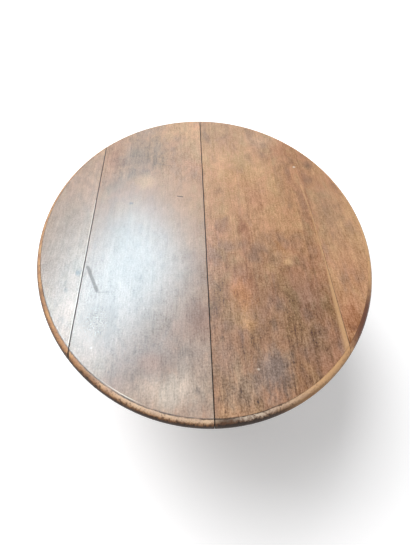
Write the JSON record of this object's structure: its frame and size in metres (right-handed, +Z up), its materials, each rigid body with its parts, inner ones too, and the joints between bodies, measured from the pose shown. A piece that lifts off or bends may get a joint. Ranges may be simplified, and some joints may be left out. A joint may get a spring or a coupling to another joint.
{
  "type": "oval drop-leaf dining table",
  "caption": "Oval wooden dining table with a moulded edge: its narrow side leaves fold down on rule joints and its halves slide apart at a middle seam, on a pedestal.",
  "frame": {"origin": "on the floor, under the middle of the oval top", "axes": "+X across the seams to the right in the picture, +Y along the seams away from the viewer, +Z up"},
  "size_m": [1, 1.25, 0.74],
  "materials": {
    "top_wood": "old waxed walnut, satin, mottled",
    "frame_wood": "old waxed walnut, satin",
    "inner_wood": "bare oak, dry and dusty",
    "peg_wood": "split oak, worn",
    "hinge_iron": "dark forged iron",
    "screw_steel": "dull blued steel"
  },
  "bodies": {
    "centre_frame": {"centre_bearer": "inner_wood", "centre_frame_screws": "screw_steel", "cross_rails": "inner_wood", "far_centre_runner": "inner_wood", "left_far_foot": "frame_wood", "left_near_foot": "frame_wood", "near_centre_runner": "inner_wood", "pedestal_column": "frame_wood", "pedestal_strap": "hinge_iron", "right_far_foot": "frame_wood", "right_near_foot": "frame_wood"},
    "left_half": {"left_corner_posts": "frame_wood", "left_far_end_rail": "frame_wood", "left_far_runner": "inner_wood", "left_glue_blocks": "inner_wood", "left_half_hinge_plates": "hinge_iron", "left_half_hinge_screws": "screw_steel", "left_half_top": "top_wood", "left_hinge_pins": "hinge_iron", "left_loper_keepers": "inner_wood", "left_near_end_rail": "frame_wood", "left_near_runner": "inner_wood", "left_outer_rail": "frame_wood", "left_packing_strips": "inner_wood", "left_post_pegs": "peg_wood", "left_runner_pegs": "peg_wood", "left_top_screws": "screw_steel", "seam_dowels": "peg_wood"},
    "right_half": {"right_corner_posts": "frame_wood", "right_far_end_rail": "frame_wood", "right_far_runner": "inner_wood", "right_glue_blocks": "inner_wood", "right_half_hinge_plates": "hinge_iron", "right_half_hinge_screws": "screw_steel", "right_half_top": "top_wood", "right_hinge_pins": "hinge_iron", "right_loper_keepers": "inner_wood", "right_near_end_rail": "frame_wood", "right_near_runner": "inner_wood", "right_outer_rail": "frame_wood", "right_packing_strips": "inner_wood", "right_post_pegs": "peg_wood", "right_runner_pegs": "peg_wood", "right_top_screws": "screw_steel"},
    "left_leaf": {"left_leaf": "top_wood", "left_leaf_battens": "inner_wood", "left_leaf_hinge_plates": "hinge_iron", "left_leaf_screws": "screw_steel"},
    "right_leaf": {"right_leaf": "top_wood", "right_leaf_battens": "inner_wood", "right_leaf_hinge_plates": "hinge_iron", "right_leaf_screws": "screw_steel"},
    "left_far_loper": {"left_far_loper": "inner_wood", "left_far_loper_peg": "peg_wood"},
    "left_near_loper": {"left_near_loper": "inner_wood", "left_near_loper_peg": "peg_wood"},
    "right_far_loper": {"right_far_loper": "inner_wood", "right_far_loper_peg": "peg_wood"},
    "right_near_loper": {"right_near_loper": "inner_wood", "right_near_loper_peg": "peg_wood"}
  },
  "joints": [
    {"name": "left_half_slide", "type": "slide", "parent": "centre_frame", "child": "left_half", "axis": [-1, 0, 0], "range_m": [0, 0.26]},
    {"name": "right_half_slide", "type": "slide", "parent": "centre_frame", "child": "right_half", "axis": [1, 0, 0], "range_m": [0, 0.26]},
    {"name": "left_leaf_hinge", "type": "hinge", "parent": "left_half", "child": "left_leaf", "pos_m": [-0.3485, 0, 0.718], "axis": [0, -1, 0], "range_deg": [0, 90]},
    {"name": "right_leaf_hinge", "type": "hinge", "parent": "right_half", "child": "right_leaf", "pos_m": [0.3485, 0, 0.718], "axis": [0, 1, 0], "range_deg": [0, 90]},
    {"name": "left_far_loper_slide", "type": "slide", "parent": "left_half", "child": "left_far_loper", "axis": [1, 0, 0], "range_m": [0, 0.09]},
    {"name": "left_near_loper_slide", "type": "slide", "parent": "left_half", "child": "left_near_loper", "axis": [1, 0, 0], "range_m": [0, 0.09]},
    {"name": "right_far_loper_slide", "type": "slide", "parent": "right_half", "child": "right_far_loper", "axis": [-1, 0, 0], "range_m": [0, 0.09]},
    {"name": "right_near_loper_slide", "type": "slide", "parent": "right_half", "child": "right_near_loper", "axis": [-1, 0, 0], "range_m": [0, 0.09]}
  ],
  "couplings": [
    {"joint": "left_far_loper_slide", "follows": "left_leaf_hinge", "m_per_rad": 0.0572},
    {"joint": "left_near_loper_slide", "follows": "left_leaf_hinge", "m_per_rad": 0.0572},
    {"joint": "right_far_loper_slide", "follows": "right_leaf_hinge", "m_per_rad": 0.0572},
    {"joint": "right_near_loper_slide", "follows": "right_leaf_hinge", "m_per_rad": 0.0572}
  ]
}
